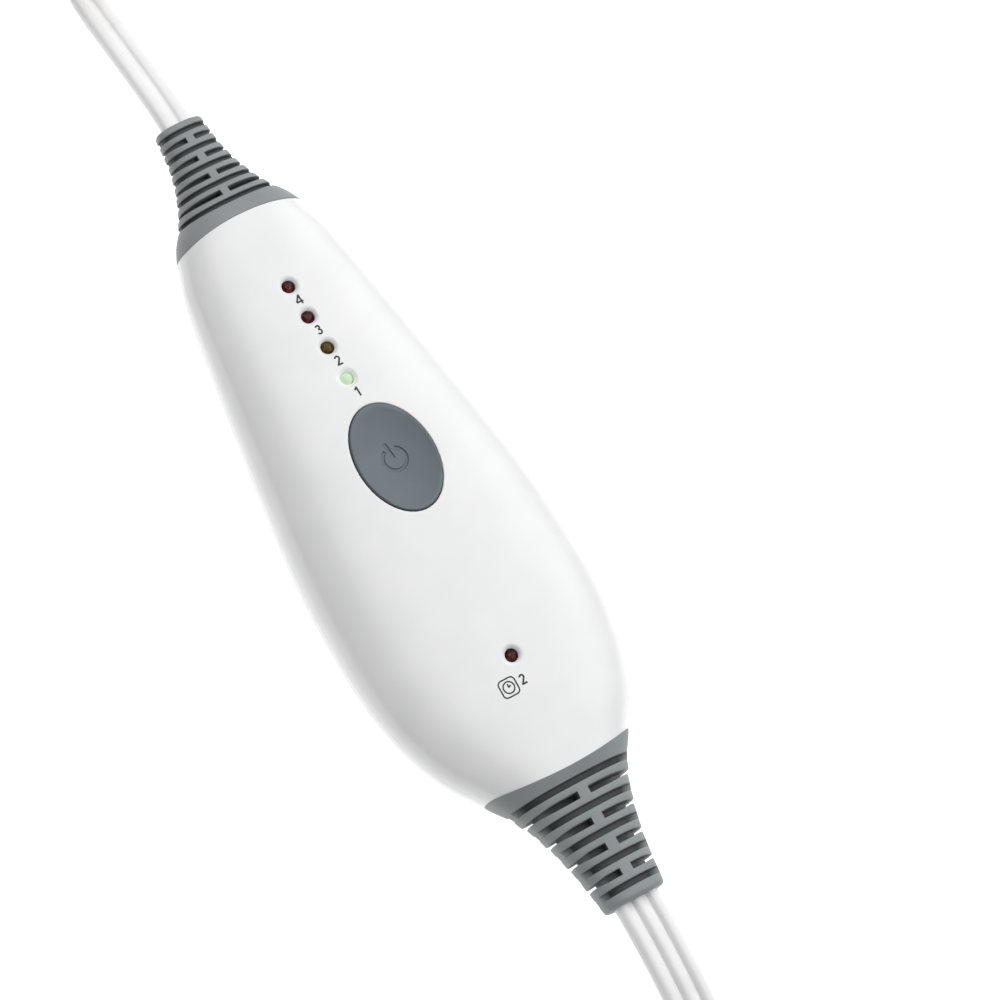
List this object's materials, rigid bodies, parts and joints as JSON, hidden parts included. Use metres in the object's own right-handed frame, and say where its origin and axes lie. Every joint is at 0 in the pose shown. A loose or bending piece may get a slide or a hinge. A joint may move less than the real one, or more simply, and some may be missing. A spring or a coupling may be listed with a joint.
{
  "type": "heating pad hand controller",
  "caption": "Domed in-line hand controller of a heating pad, with an oval push button, indicator lamps, ribbed strain reliefs, and a flat mains cord and pad lead in hanks.",
  "frame": {"origin": "on the plane of the flat back, under the middle of the casing with its two strain reliefs", "axes": "+X across the casing to the right of its markings, +Y along it towards the mains cord, +Z out of the front with the button"},
  "size_m": [0.0689, 0.5964, 0.0286],
  "materials": {
    "casing_white": "smooth gloss",
    "relief_grey": "soft matt",
    "button_grey": "fine matt",
    "lamp_red": "tinted clear",
    "lamp_amber": "tinted clear",
    "lamp_green": "tinted clear, lit",
    "cord_white": "satin",
    "board_green": "satin",
    "black_plastic": "matt",
    "sleeve_blue": "smooth gloss",
    "capacitor_yellow": "matt",
    "resistor_beige": "matt",
    "fuse_glass": "clear",
    "steel": "plated",
    "brass": "bright"
  },
  "bodies": {
    "controller": {"top_shell": "casing_white", "bottom_shell": "casing_white", "mains_strain_relief": "relief_grey", "pad_strain_relief": "relief_grey", "heat_led_1": "lamp_red", "heat_led_2": "lamp_red", "timer_led": "lamp_red", "heat_led_3": "lamp_amber", "heat_led_4": "lamp_green", "mains_cord": "cord_white", "mains_cord_hank": "cord_white", "mains_cord_tail": "cord_white", "plug_body": "cord_white", "pad_cord": "cord_white", "pad_cord_hank": "cord_white", "pad_cord_tail": "cord_white", "pad_connector": "cord_white", "mains_wire_1": "cord_white", "mains_wire_2": "cord_white", "pad_wire_1": "cord_white", "pad_wire_2": "cord_white", "pad_wire_3": "cord_white", "circuit_board": "board_green", "switch_body": "black_plastic", "microcontroller": "black_plastic", "triac": "black_plastic", "mains_cord_tie": "black_plastic", "pad_cord_tie": "black_plastic", "timer_led_spacer": "black_plastic", "led_spacer_1": "black_plastic", "led_spacer_2": "black_plastic", "led_spacer_3": "black_plastic", "led_spacer_4": "black_plastic", "electrolytic_capacitor": "sleeve_blue", "varistor": "sleeve_blue", "x_capacitor": "capacitor_yellow", "dropper_resistor": "resistor_beige", "fuse": "fuse_glass", "case_screw_1": "steel", "case_screw_2": "steel", "case_screw_3": "steel", "case_screw_4": "steel", "board_screw_1": "steel", "board_screw_2": "steel", "plug_blade_1": "brass", "plug_blade_2": "brass", "pad_contact_1": "brass", "pad_contact_2": "brass", "pad_contact_3": "brass"},
    "button": {"power_button": "button_grey", "switch_plunger": "black_plastic"}
  },
  "joints": [
    {"name": "button_press", "type": "slide", "parent": "controller", "child": "button", "axis": [0, 0, -1], "range_m": [0, 0.0008], "stiffness_N_per_m": 1500}
  ]
}
